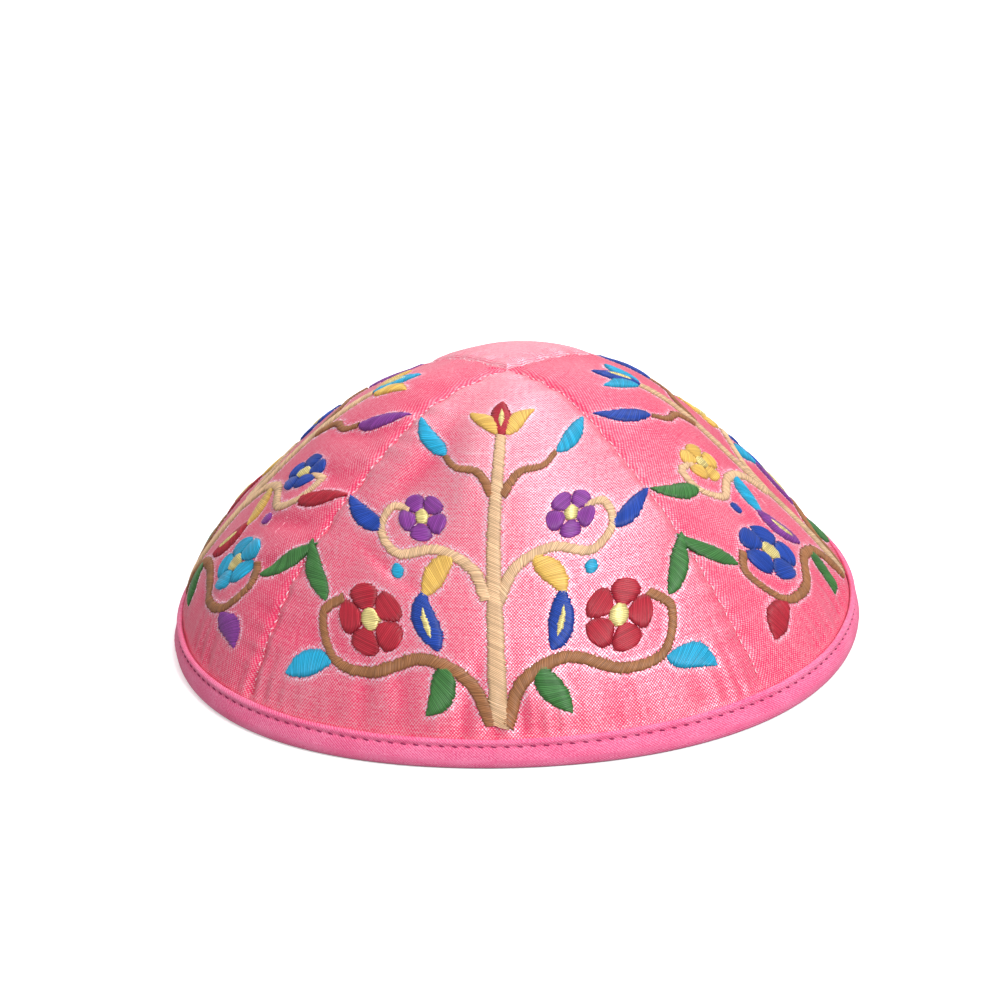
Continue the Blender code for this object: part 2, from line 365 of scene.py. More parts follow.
def grid_faces(rows, columns, start=0, flip=False):
    """Quads over a grid of points stored row by row."""
    low = start + np.arange((rows - 1) * columns).reshape(rows - 1, columns)[:, :-1].ravel()
    quads = np.stack([low, low + 1, low + columns + 1, low + columns], 1)
    return (quads[:, ::-1] if flip else quads).tolist()


class Nodes:
    """Short ways to add shader nodes to one material."""

    def __init__(self, name, colour, roughness, **inputs):
        self.material = bpy.data.materials.new(name)
        self.material.use_nodes = True
        self.tree = self.material.node_tree
        self.surface = self.tree.nodes["Principled BSDF"]
        self.set("Base Color", (*colour, 1.0))
        self.set("Roughness", roughness)
        for label, value in inputs.items():
            self.set(label.replace("_", " "), value)

    def set(self, label, value):
        self.surface.inputs[label].default_value = value

    def link(self, output, target):
        self.tree.links.new(output, target)

    def put(self, target, value):
        if isinstance(value, bpy.types.NodeSocket):
            self.link(value, target)
        else:
            target.default_value = value

    def attribute(self, name, output):
        node = self.tree.nodes.new("ShaderNodeAttribute")
        node.attribute_name = name
        return node.outputs[output]

    def math(self, operation, a, b=0.0, c=0.0, clamp=False):
        node = self.tree.nodes.new("ShaderNodeMath")
        node.operation = operation
        node.use_clamp = clamp
        for socket, value in zip(node.inputs, (a, b, c)):
            self.put(socket, value)
        return node.outputs[0]

    def mapping(self, vector, scale, location=(0, 0, 0), turn=0.0):
        node = self.tree.nodes.new("ShaderNodeMapping")
        self.put(node.inputs["Vector"], vector)
        node.inputs["Location"].default_value = location
        node.inputs["Rotation"].default_value = (0, 0, turn)
        node.inputs["Scale"].default_value = scale
        return node.outputs[0]

    def noise(self, vector, scale, detail=2.0, roughness=0.5):
        node = self.tree.nodes.new("ShaderNodeTexNoise")
        self.put(node.inputs["Vector"], vector)
        node.inputs["Scale"].default_value = scale
        node.inputs["Detail"].default_value = detail
        node.inputs["Roughness"].default_value = roughness
        return node.outputs["Fac"]

    def separate(self, vector):
        node = self.tree.nodes.new("ShaderNodeSeparateXYZ")
        self.put(node.inputs[0], vector)
        return node.outputs

    def span(self, value, low, high, new_low=0.0, new_high=1.0, smooth=False):
        node = self.tree.nodes.new("ShaderNodeMapRange")
        node.interpolation_type = "SMOOTHSTEP" if smooth else "LINEAR"
        self.put(node.inputs["Value"], value)
        node.inputs["From Min"].default_value = low
        node.inputs["From Max"].default_value = high
        node.inputs["To Min"].default_value = new_low
        node.inputs["To Max"].default_value = new_high
        return node.outputs[0]

    def mix(self, share, a, b, kind="MIX"):
        node = self.tree.nodes.new("ShaderNodeMix")
        node.data_type = "RGBA"
        node.blend_type = kind
        self.put(node.inputs["Factor"], share)
        for socket, value in zip((node.inputs[6], node.inputs[7]), (a, b)):
            self.put(socket, (*value, 1.0) if isinstance(value, tuple) else value)
        return node.outputs[2]

    def bump(self, height, strength, distance):
        node = self.tree.nodes.new("ShaderNodeBump")
        node.inputs["Strength"].default_value = strength
        node.inputs["Distance"].default_value = distance
        self.link(height, node.inputs["Height"])
        self.link(node.outputs[0], self.surface.inputs["Normal"])


def srgb(red, green, blue):
    """A colour as a screen shows it, 0 to 255, turned to linear light."""
    shares = np.array([red, green, blue]) / 255
    linear = np.where(shares <= 0.04045, shares / 12.92, ((shares + 0.055) / 1.055) ** 2.4)
    return tuple(float(v) for v in linear)


WARP_COLOUR = srgb(231, 40, 96)
WEFT_COLOUR = srgb(255, 200, 212)
HALO_COLOUR = srgb(250, 228, 248)
WARP_PITCH = 0.34  # mm from one thread to the next
WEFT_PITCH = 0.38
HOLLOW_SHADE = 0.24  # painted shade in the folds: how much less weft shows for each millimetre that a fold presses in
PULLED_PITCH = 0.52  # of the weft that the stitches pull up


def silk(name, weft_share, top_share_with_painted_sheen, gloss, weft_along_x):
    """Plain-woven shot silk: coral warp, and a pale, shiny weft of uneven thickness, with a painted sheen in
    how much of the weft shows up the panel.
    """
    n = Nodes(name, WARP_COLOUR, 0.48, Specular_IOR_Level=0.6, Anisotropic=0.62)
    n.set("Sheen Weight", 0.10)
    n.set("Sheen Roughness", 0.4)
    across_weft = n.tree.nodes.new("ShaderNodeCombineXYZ")
    across_weft.inputs["Y"].default_value = 1.0
    n.link(across_weft.outputs[0], n.surface.inputs["Tangent"])
    place = n.attribute("cloth_mm", "Vector")
    halo = n.attribute("halo", "Fac")
    axes = n.separate(place)
    along, across = (axes[0], axes[1]) if weft_along_x else (axes[1], axes[0])
    turned = n.tree.nodes.new("ShaderNodeCombineXYZ")
    for socket, value in zip(turned.inputs, (along, across, axes[2])):
        n.link(value, socket)
    flat = turned.outputs[0]
    wander = n.math("MULTIPLY", n.math("SUBTRACT", n.noise(n.mapping(flat, (0.05, 0.12, 1)), 1.0), 0.5), 1.6)
    pick = n.math("MULTIPLY", n.math("ADD", across, wander), math.pi / WEFT_PITCH)
    end = n.math("MULTIPLY", n.math("ADD", along, wander), math.pi / WARP_PITCH)
    over = n.math("MULTIPLY", n.math("SINE", pick), n.math("SINE", end))
    slub = n.noise(n.mapping(flat, (0.05, 2.2, 1)), 1.0, 3.0, 0.6)
    fleck = n.noise(n.mapping(flat, (0.9, 2.6, 1)), 1.0, 2.0, 0.6)
    warp_slub = n.noise(n.mapping(flat, (2.2, 0.06, 1)), 1.0, 2.0, 0.6)
    patch = n.noise(n.mapping(flat, (0.035, 0.045, 1)), 1.0, 3.0, 0.55)
    # Painted sheen: how much weft shows changes with the climb, from its share low on the panel to its share
    # at the top.
    share = n.math("MULTIPLY_ADD", over, 0.62, n.span(axes[1], 10, 88, weft_share, top_share_with_painted_sheen))
    share = n.math("ADD", share, n.span(slub, 0.25, 0.75, -0.15, 0.15))
    share = n.math("ADD", share, n.span(fleck, 0.25, 0.75, -0.36, 0.36))
    share = n.math("ADD", share, n.span(warp_slub, 0.25, 0.75, 0.08, -0.08))
    share = n.math("ADD", share, n.span(patch, 0.3, 0.7, -0.10, 0.10))
    # Painted shade: less pale weft, so darker cloth, where a fold, pucker or pleat presses in.
    share = n.math("MULTIPLY_ADD", n.attribute("pressed_mm", "Fac"), -HOLLOW_SHADE, share)
    streak = n.span(n.noise(n.mapping(flat, (0.045, 0.62, 1), (7, 3, 0)), 1.0, 1.0, 0.4), 0.735, 0.79, 0, 0.5)
    share = n.math("ADD", share, streak)
    dots = [n.math("SINE", n.math("MULTIPLY", axis, math.pi / PULLED_PITCH)) for axis in axes[:2]]
    broken = n.span(n.noise(n.mapping(flat, (0.8, 0.8, 1), (3, 9, 0)), 1.0, 1.0), 0.3, 0.6)
    pulled = n.math("MULTIPLY", halo, n.span(n.math("MULTIPLY", *dots), -0.15, 0.35, 0.0, 1.0))
    pulled = n.math("MULTIPLY", pulled, broken)
    share = n.math("MULTIPLY_ADD", pulled, 0.7, share, clamp=True)
    colour = n.mix(share, WARP_COLOUR, WEFT_COLOUR)
    n.link(n.mix(n.math("MULTIPLY", pulled, 0.5), colour, HALO_COLOUR), n.surface.inputs["Base Color"])
    n.link(n.math("MULTIPLY", share, gloss), n.surface.inputs["Metallic"])
    relief = n.math("ADD", n.math("MULTIPLY", over, 0.5), n.math("MULTIPLY", slub, 0.9))
    n.bump(relief, 0.6, 0.0001)
    return n.material


def thread(name, colour, roughness=0.42, **inputs):
    """Satin thread: each strand a little lighter or darker than the next, with painted shade in the grooves
    between strands and along the edges.
    """
    n = Nodes(name, colour, roughness, Specular_IOR_Level=0.35, Sheen_Weight=0.03, **inputs)
    dark, light = tuple(c * 0.45 for c in colour), tuple(min(1.0, c * 1.26 + 0.016) for c in colour)
    strand = n.mix(n.attribute("shade", "Fac"), dark, light)
    # Painted shade along the satin's edges, where they sink into the cloth.
    edge = n.span(n.attribute("edge", "Fac"), 0.6, 1.0, 0.0, 0.6)
    n.link(n.mix(edge, strand, tuple(c * 0.35 for c in colour)), n.surface.inputs["Base Color"])
    return n.material


THREADS = {
    "brown": thread("thread_brown", srgb(162, 106, 64)),
    "cream": thread("thread_cream", srgb(230, 188, 146)),
    "green": thread("thread_green", srgb(58, 120, 54)),
    "turquoise": thread("thread_turquoise", srgb(10, 168, 212)),
    "blue": thread("thread_blue", srgb(2, 62, 164)),
    "purple": thread("thread_purple", srgb(134, 50, 150)),
    "crimson": thread("thread_crimson", srgb(176, 16, 44)),
    "orange": thread("thread_orange", srgb(255, 190, 92)),
    "gold": thread("thread_gold", srgb(244, 214, 140), 0.36, Metallic=0.3),
}
THREAD_ORDER = list(THREADS)


def half_leaf(t, width, fullness=0.85):
    """Half the width of a leaf or petal, pointed at both ends, at the share t of its length."""
    return width / 2 * np.sin(math.pi * t**fullness) ** 0.85


def half_petal(t, width):
    """Half the width of a petal: narrow at its foot and round at its end."""
    return width / 2 * np.sqrt(np.clip(1 - (2 * t**1.5 - 1) ** 2, 0, 1))


def half_disc(t, width):
    return width / 2 * np.sqrt(np.clip(1 - (2 * t - 1) ** 2, 0, 1))


def curve_through(points, count):
    """Evenly spaced points on a smooth curve through a few points."""
    points = np.asarray(points, float)
    ends = np.concatenate([[2 * points[0] - points[1]], points, [2 * points[-1] - points[-2]]])
    fine = []
    for a, b, c, d in zip(ends, ends[1:], ends[2:], ends[3:]):
        t = np.linspace(0, 1, 24, endpoint=False)[:, None]
        cubic = 2 * b + (c - a) * t + (2 * a - 5 * b + 4 * c - d) * t**2 + (3 * b - a - 3 * c + d) * t**3
        fine.append(0.5 * cubic)
    fine = np.concatenate([*fine, points[-1:]])
    gone = np.concatenate([[0], np.cumsum(np.linalg.norm(np.diff(fine, axis=0), axis=1))])
    marks = np.linspace(0, gone[-1], count)
    return np.stack([np.interp(marks, gone, fine[:, k]) for k in (0, 1)], 1), gone[-1]


class Stitching:
    """The satin stitching of one panel, gathered into one mesh, and the threads that it pulls."""

    def __init__(self, facing, seed, reach):
        self.chart = CHARTS[facing]
        self.reach = reach
        self.rng = np.random.default_rng(seed)
        self.points, self.faces, self.indices, self.shades, self.edges = [], [], [], [], []
        self.pulled_points, self.pulled_faces = [], []
        self.outlines = []
        self.count = 0

    def column(self, points, half_width, colour, slant=0.35, over=0.0, pulls=True):
        """A satin column along a curve through points, with its half-width a function of t."""
        points = np.asarray(points, float) * (1, self.reach)
        length = curve_through(points, 2)[1]
        threads = max(4, round(length / THREAD_PITCH))
        steps = len(THREAD_STEPS) * threads + 1
        axis = curve_through(points, steps)[0]
        tangent = np.gradient(axis, axis=0)
        tangent /= np.linalg.norm(tangent, axis=1)[:, None]
        normal = np.stack([-tangent[:, 1], tangent[:, 0]], 1)
        t = np.linspace(0, 1, steps)
        half = np.maximum(half_width(t), 0.05)
        relief = np.array([THREAD_STEPS[k % len(THREAD_STEPS)] for k in range(steps)])
        which = np.minimum(np.arange(steps) // len(THREAD_STEPS), threads - 1)
        rails = []
        for side in (1, -1):
            jitter = self.rng.normal(0, END_JITTER, threads)[which]
            reach = half + np.where(relief > 0, jitter, -GROOVE_INSET) * np.minimum(1, half)
            shifted = np.clip(t + side * slant * half / length, 0, 1)
            middle = np.stack([np.interp(shifted, t, axis[:, k]) for k in (0, 1)], 1)
            across = np.stack([np.interp(shifted, t, normal[:, k]) for k in (0, 1)], 1)
            rails.append(middle + side * across * np.maximum(reach, 0.03)[:, None])
        left, right = rails
        across = -np.cos(math.pi * np.arange(SATIN_ACROSS + 1) / SATIN_ACROSS)
        flat = (left + right)[:, None] / 2 + across[None, :, None] * (left - right)[:, None] / 2
        pad = np.minimum(0.62, 0.30 + 0.13 * half)[:, None] * np.minimum(1, half / 0.5)[:, None]
        crown = np.sqrt(np.clip(1 - across**2, 0, 1)) ** 0.75
        height = over * crown + pad * crown + THREAD_RELIEF * relief[:, None] * (1 - across**6)
        height = height - SINK * across**10
        # Each thread gets a random tone; the grooves between them get 0, a painted shade.
        shade = self.rng.uniform(DARKEST_THREAD, 1, threads)[which] * (relief > 0)
        spots = on_cloth(self.chart, flat[..., 0], flat[..., 1], height)
        self._add(spots, THREAD_ORDER.index(colour), shade, np.abs(across))
        self.outlines.append(np.concatenate([left, right[::-1]]))
        if pulls:
            self._pull(left, right, which, threads, half)

    def _add(self, grid, index, shade, edge):
        rows, columns = grid.shape[:2]
        start = self.count
        faces = grid_faces(rows, columns, start, flip=True)
        for k in range(rows - 1):
            low, high = start + k * columns, start + (k + 1) * columns
            faces.append((high + columns - 1, high, low, low + columns - 1))
        faces.append(tuple(range(start, start + columns)))
        last = start + (rows - 1) * columns
        faces.append(tuple(range(last + columns - 1, last - 1, -1)))
        self.points.append(grid.reshape(-1, 3))
        self.faces += faces
        self.indices += [index] * len(faces)
        self.shades.append(np.repeat(shade, columns))
        self.edges.append(np.tile(edge, rows))
        self.count += rows * columns

    def _pull(self, left, right, which, threads, half):
        """Pale dashes of weft that the stitches pull up along both edges of a column."""
        middles = len(THREAD_STEPS) * np.arange(threads) + len(THREAD_STEPS) // 2
        for edge, other in ((left, right), (right, left)):
            outward = edge[middles] - other[middles]
            outward /= np.maximum(np.linalg.norm(outward, axis=1), 1e-6)[:, None]
            keep = (self.rng.uniform(0, 1, threads) < 0.62) & (half[middles] > 0.4)
            ends, away = edge[middles][keep], outward[keep]
            lengths = self.rng.uniform(0.45, 1.05, len(ends))
            thick = self.rng.uniform(0.09, 0.15, len(ends))
            self._dashes(ends + away * 0.05, ends + away * lengths[:, None], thick)

    def _dashes(self, start, end, thick):
        aside = np.stack([-(end - start)[:, 1], (end - start)[:, 0]], 1)
        aside /= np.maximum(np.linalg.norm(aside, axis=1), 1e-6)[:, None]
        middle = (start + end) / 2
        side, level = aside * thick[:, None], 0 * thick
        flat = np.stack([start, middle + side, end, middle - side, middle, middle], 1)
        raised, lowered = level + DASH_EDGE, level - DASH_EDGE
        height = np.stack([level, raised, lowered, raised, thick * DASH_CREST, level - DASH_KEEL], 1)
        spots = on_cloth(self.chart, flat[..., 0], flat[..., 1], height)
        for spot in spots:
            base = 6 * len(self.pulled_points)
            self.pulled_points.append(spot)
            for a, b in ((0, 1), (1, 2), (2, 3), (3, 0)):
                self.pulled_faces.append((base + b, base + a, base + 4))
                self.pulled_faces.append((base + a, base + b, base + 5))

    def leaf(self, foot, angle, length, width, colour, bend=0.0, vein=None, over=0.0):
        """A leaf from its foot, at an angle from straight up, clockwise, in degrees."""
        a = math.radians(angle)
        ahead, aside = np.array([math.sin(a), math.cos(a)]), np.array([math.cos(a), -math.sin(a)])
        foot = np.array(foot, float)
        spine = [foot, foot + ahead * length / 2 + aside * bend, foot + ahead * length]
        self.column(spine, lambda t: half_leaf(t, width), colour, 0.45, over)
        if vein:
            inner = [
                foot + ahead * length * 0.2 + aside * bend * 0.6,
                spine[1],
                foot + ahead * length * 0.72 + aside * bend * 0.8,
            ]
            self.column(inner, lambda t: half_leaf(t, width * 0.30), vein, 0.2, 0.5, pulls=False)

    def petal(self, foot, angle, length, width, colour):
        a = math.radians(angle)
        ahead = np.array([math.sin(a), math.cos(a)])
        foot = np.array(foot, float)
        spine = [foot, foot + ahead * length / 2, foot + ahead * length]
        self.column(spine, lambda t: half_petal(t, width), colour, 0.0)

    def disc(self, centre, width, colour, over=0.0, pulls=True):
        centre = np.array(centre, float)
        half = np.array([0, width / 2])
        spine = [centre - half, centre, centre + half]
        self.column(spine, lambda t: half_disc(t, width), colour, 0.0, over, pulls)

    def stem(self, points, start_width, end_width, colour):
        self.column(points, lambda t: (start_width + (end_width - start_width) * t) / 2, colour, 0.5)

    def flower(self, centre, radius, petals, colours, turn=0.0, heart="gold"):
        """Round petals about a raised heart."""
        centre = np.array(centre, float)
        width = 2 * radius * math.sin(math.pi / petals) * 0.80
        for k in range(petals):
            angle = turn + 360 * k / petals
            a = math.radians(angle)
            foot = centre + radius * 0.22 * np.array([math.sin(a), math.cos(a)])
            self.petal(foot, angle, radius * 0.78, width, colours[k % len(colours)])
        self.disc(centre, radius * 0.62, heart, 0.35, False)

    def finish(self, name):
        attributes = {
            "shade": ("FLOAT", np.concatenate(self.shades)),
            "edge": ("FLOAT", np.concatenate(self.edges)),
        }
        materials = [THREADS[colour] for colour in THREAD_ORDER]
        points = np.concatenate(self.points)
        new_piece("embroidery_" + name, points, self.faces, materials, self.indices, attributes)
        pulled = np.concatenate(self.pulled_points)
        new_piece("pulled_threads_" + name, pulled, self.pulled_faces, [PULLED])


def plain(name, colour, roughness):
    return Nodes(name, colour, roughness, Specular_IOR_Level=0.3).material


PULLED = plain("pulled_weft", srgb(250, 222, 238), 0.6)
SLUB = plain("silk_slub", srgb(255, 190, 204), 0.5)
SEAM_THREAD = plain("seam_thread", srgb(255, 220, 230), 0.55)
# Dark stitches: painted shade of the groove and the needle holes they sink into.
TOPSTITCH_SHADE = plain("topstitch_in_painted_shade", srgb(150, 34, 84), 0.6)


# The lines of a spray on its right side, as x and climb
LOWER_SCROLL = [(1.4, 9), (6, 19), (16, 23.5), (28, 19.5), (38, 21), (41, 30), (35, 35)]
UPPER_SCROLL = [(1.2, 37), (5, 45), (13, 49), (22, 47), (27, 52), (25, 58), (20, 58)]
TOP_TWIG = [(1.0, 62), (4.5, 68), (10, 69.5), (13, 73)]
MAIN_STEM = [(0, 8.5), (0.4, 34), (-0.3, 56), (0, 79)]


def mirrored(points, side):
    return [(side * x, climb) for x, climb in points]


def spray(facing, name, palette, seed):
    """One panel's embroidery: a mirrored folk spray of scrolls, flowers and leaves."""
    s = Stitching(facing, seed, BACK_REACH if name == "back" else 1.0)
    for side in (-1, 1):
        s.stem(mirrored(LOWER_SCROLL, side), 3.4, 2.1, "brown")
        s.stem(mirrored(UPPER_SCROLL, side), 3.0, 1.9, "cream")
        s.stem(mirrored(TOP_TWIG, side), 2.4, 1.6, "brown")
    s.stem(MAIN_STEM, 4.6, 2.6, "cream")
    for side in (-1, 1):
        s.flower((side * 28.0, 31.0), 8.2, 5, (palette[0],), 20 * side)
        s.leaf((side * 10, 22.6), 152 * side, 13.0, 6.2, "green", 1.0 * side)
        s.leaf((side * 12.5, 25.4), 12 * side, 14.5, 6.4, palette[1], 1.2 * side, "gold")
        s.leaf((side * 38.5, 20.0), 112 * side, 13.5, 6.0, palette[2], -1.2 * side)
        s.leaf((side * 40.5, 33.0), 22 * side, 13.5, 5.8, "green", 0.9 * side)
        s.flower((side * 17.0, 56.5), 5.9, 5, (palette[3],), 36 * side)
        s.leaf((side * 9, 47.6), 146 * side, 12.5, 5.6, palette[4], -0.9 * side)
        s.leaf((side * 26.5, 52.0), 62 * side, 12.5, 5.4, palette[5], 0.8 * side)
        s.leaf((side * 13, 73.0), 40 * side, 12.0, 5.4, palette[6], 0.8 * side)
        s.disc((side * 22.0, 43.2), 3.4, palette[6])
        s.leaf((side * 1.2, 79.0), 40 * side, 10.0, 4.8, palette[4], -1.1 * side)
    s.leaf((0, 78.5), 0, 12.5, 5.4, palette[0], 0.0, "gold")
    s.finish(name)
    return s


PALETTES = {
    "front": ("crimson", "blue", "turquoise", "purple", "orange", "blue", "turquoise"),
    "right": ("blue", "purple", "crimson", "orange", "turquoise", "green", "blue"),
    "back": ("purple", "crimson", "orange", "turquoise", "blue", "crimson", "green"),
    "left": ("turquoise", "crimson", "purple", "blue", "orange", "crimson", "purple"),
}


def halo_near(outlines, x, climb, near=0.35, far=1.3):
    """How strongly the cloth at flat points shows pulled weft: 1 beside a motif, 0 away from it."""
    best = np.full(x.shape, far)
    for outline in outlines:
        line = outline[::3]
        low, high = line.min(0) - far, line.max(0) + far
        close = (x > low[0]) & (x < high[0]) & (climb > low[1]) & (climb < high[1])
        if not close.any():
            continue
        spots = np.stack([x[close], climb[close]], 1)
        distance = np.linalg.norm(spots[:, None] - line[None], axis=2).min(1)
        best[close] = np.minimum(best[close], distance)
    return np.clip((far - best) / (far - near), 0, 1)


FOOT_CLIMB = 2.2 * MM  # the panels' lower edge, inside the binding


def build_crown(name, facing, silk_material, outlines):
    """One panel's cloth: an outer and an inner face joined all round, fine enough for wrinkles."""
    chart = CHARTS[facing]
    foot = lift_at(FOOT_CLIMB)
    across = np.sin(math.pi / 2 * np.linspace(-1, 1, PANEL_COLUMNS + 1) * 0.96) / math.sin(math.pi / 2 * 0.96)
    tip_radius = SEAM_GAP / 2 / math.sin(HALF_SPAN)
    lifts_up = np.radians(np.linspace(0, 90, 4000))
    radii = section(chart.facing + 0 * lifts_up, lifts_up)[0]
    tip_lift = np.interp(-tip_radius, -radii, lifts_up)
    lift = (foot + (tip_lift - foot) * np.arange(PANEL_ROWS) / (PANEL_ROWS - 1))[:, None]
    lift = np.repeat(lift, PANEL_COLUMNS + 1, 1)
    azimuth = chart.facing + across[None] * HALF_SPAN
    radius = section(azimuth + 0 * lift, lift)[0]
    side = np.arcsin(np.clip(SEAM_GAP / 2 / radius, 0, 1))
    azimuth = chart.facing + across[None] * np.maximum(HALF_SPAN - side, 0.002)
    climb = chart.to_flat(azimuth, lift)[1] * MM
    above = np.clip((climb - BINDING_WIDTH) / SEAM_ROLL, 0, 1)
    seam = radius * np.sin(HALF_SPAN - np.abs(across[None]) * (HALF_SPAN - side))
    dip = SEAM_DIP * above * np.exp(-((seam / SEAM_ROLL) ** 2))
    outer = cloth(azimuth, lift, -dip)
    inner = cloth(azimuth, lift, -dip - CLOTH_WALL)
    rows, columns = lift.shape
    size = rows * columns
    faces = grid_faces(rows, columns) + grid_faces(rows, columns, size, flip=True)
    rim = [*range(columns), *range(2 * columns - 1, size, columns)]
    rim += [*range(size - 2, size - columns - 1, -1), *range(size - 2 * columns, 0, -columns)]
    for a, b in zip(rim, rim[1:] + rim[:1]):
        faces.append((b, a, a + size, b + size))
    x, up = chart.to_flat(azimuth, lift)
    halo = halo_near(outlines, x, up)
    flat = np.stack([x, up, 0 * x + facing], -1).reshape(-1, 3)
    pressed = folded(azimuth, lift).ravel() / MM
    attributes = {
        "cloth_mm": ("FLOAT_VECTOR", np.concatenate([flat, flat])),
        "halo": ("FLOAT", np.concatenate([halo.ravel(), 0 * halo.ravel()])),
        "pressed_mm": ("FLOAT", np.concatenate([pressed, 0 * pressed])),
    }
    points = np.concatenate([outer.reshape(-1, 3), inner.reshape(-1, 3)])
    piece = new_piece("crown_" + name, points, faces, [silk_material], None, attributes)
    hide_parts("panel_" + name)


STITCH_PITCH = 2.9 * MM  # of the topstitching on the binding
STITCH_CLIMB = BINDING_WIDTH - 1.6 * MM
STITCH_LENGTH = 1.15 * MM
STITCH_THICK = 0.42 * MM
STITCH_SLANT = math.radians(-14)
PUFF = 0.30 * MM  # how far the tape swells between its fold and the topstitching
ROLL = 0.36 * MM  # how far the strip above the topstitching swells
GROOVE = 0.38 * MM  # how deep the topstitching pulls the tape in
EDGE_WAVE = 0.10 * MM  # unevenness of the binding's upper edge

rim_around = np.linspace(0, math.tau, 1441)
rim_radius = section(rim_around, 0 * rim_around)[0]
rim_steps = np.hypot(np.diff(rim_radius * np.sin(rim_around)), np.diff(rim_radius * np.cos(rim_around)))
RIM_LENGTH = float(rim_steps.sum())
STITCHES = round(RIM_LENGTH / STITCH_PITCH)
edge_drift = waves(5, 23, 14, 50)


def rim_place(azimuth):
    """Distance round the rim from azimuth 0, taken as even all round."""
    return RIM_LENGTH * azimuth / math.tau


def tape_out(azimuth, climb):
    """How far the tape's outer face stands out from the cloth, at a climb up the wall."""
    groove = np.exp(-(((climb - STITCH_CLIMB) / (0.42 * MM)) ** 2))
    beat = 0.5 + 0.5 * np.cos(STITCHES * azimuth)
    puff = np.sin(math.pi * np.clip(climb / STITCH_CLIMB, 0, 1)) ** 0.8
    soft = 0.10 * MM * edge_drift(rim_place(azimuth) / MM, 3 * climb / MM)
    up_roll = np.clip((climb - STITCH_CLIMB) / (BINDING_WIDTH - STITCH_CLIMB), 0, 1)
    roll = ROLL * np.sin(math.pi * up_roll) ** 0.7
    out = BINDING_SLACK + BINDING_LEAF - 0.12 * MM + PUFF * puff * (0.8 + 0.2 * beat) + soft * puff + roll
    return out - GROOVE * groove * (0.45 + 0.55 * beat)


def build_binding(material):
    """The tape folded over the rim: a closed ring, puffed, grooved and slightly uneven."""
    azimuth = math.tau * np.arange(BINDING_STEPS) / BINDING_STEPS
    fold_radius = CLOTH_WALL / 2 + BINDING_SLACK + BINDING_LEAF
    fold_height = math.sqrt(fold_radius**2 - (REST_FLAT / 2) ** 2)
    inner_out = -CLOTH_WALL - BINDING_SLACK
    shoulder = BINDING_WIDTH - BINDING_LEAF / 2
    top = BINDING_WIDTH + EDGE_WAVE * edge_drift(rim_place(azimuth) / MM + 90, 0)
    rings, climbs = [], []

    def add(points, along):
        rings.append(points)
        climbs.append(along + 0 * azimuth)

    middle = wall(azimuth, lift_at(0 * azimuth + fold_height), -CLOTH_WALL / 2)
    for turn in np.linspace(-math.pi, 0, 19):
        out = fold_radius * math.cos(turn)
        up = max(0.0, fold_height + fold_radius * math.sin(turn))
        direction = np.stack([np.sin(azimuth), -np.cos(azimuth), 0 * azimuth], -1)
        points = middle + out * direction
        points[:, 2] = up
        add(points, fold_radius * turn)
    for climb in np.linspace(fold_height + 0.35 * MM, shoulder, 16):
        here = 0 * azimuth + climb
        add(wall(azimuth, lift_at(here), tape_out(azimuth, here)), climb)
    centre = BINDING_SLACK + BINDING_LEAF * 0.44
    for turn in np.linspace(0.2, 0.9, 8) * math.pi:
        here = shoulder + (top - shoulder) * math.sin(turn)
        add(wall(azimuth, lift_at(here), centre + BINDING_LEAF * 0.44 * math.cos(turn)), here)
    for climb in (shoulder, fold_height):
        add(wall(azimuth, lift_at(0 * azimuth + climb), BINDING_SLACK * 0.6 + 0 * azimuth), climb)
    for climb in (fold_height, shoulder):
        add(wall(azimuth, lift_at(0 * azimuth + climb), inner_out + 0 * azimuth), climb)
    for turn in np.linspace(0, 1, 7)[1:-1] * math.pi:
        here = shoulder + (top - shoulder) * math.sin(turn)
        add(wall(azimuth, lift_at(here), inner_out - BINDING_LEAF / 2 * (1 - math.cos(turn))), here)
    for climb in np.linspace(shoulder, fold_height + 0.35 * MM, 6):
        add(wall(azimuth, lift_at(0 * azimuth + climb), inner_out - BINDING_LEAF + 0 * azimuth), climb)
    around, ring = len(azimuth), len(rings)
    points = np.stack(rings, 1).reshape(-1, 3)
    faces = []
    for k in range(around):
        here, there = k * ring, (k + 1) % around * ring
        for i in range(ring):
            j = (i + 1) % ring
            faces.append((here + i, there + i, there + j, here + j))
    place = np.repeat(rim_place(azimuth)[:, None], ring, 1) / MM
    tape = np.stack([place, np.stack(climbs, 1) / MM, 0 * place], -1)
    attributes = {"tape_mm": ("FLOAT_VECTOR", tape)}
    piece = new_piece("binding_tape", points, faces, [material], None, attributes)
    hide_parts("binding")


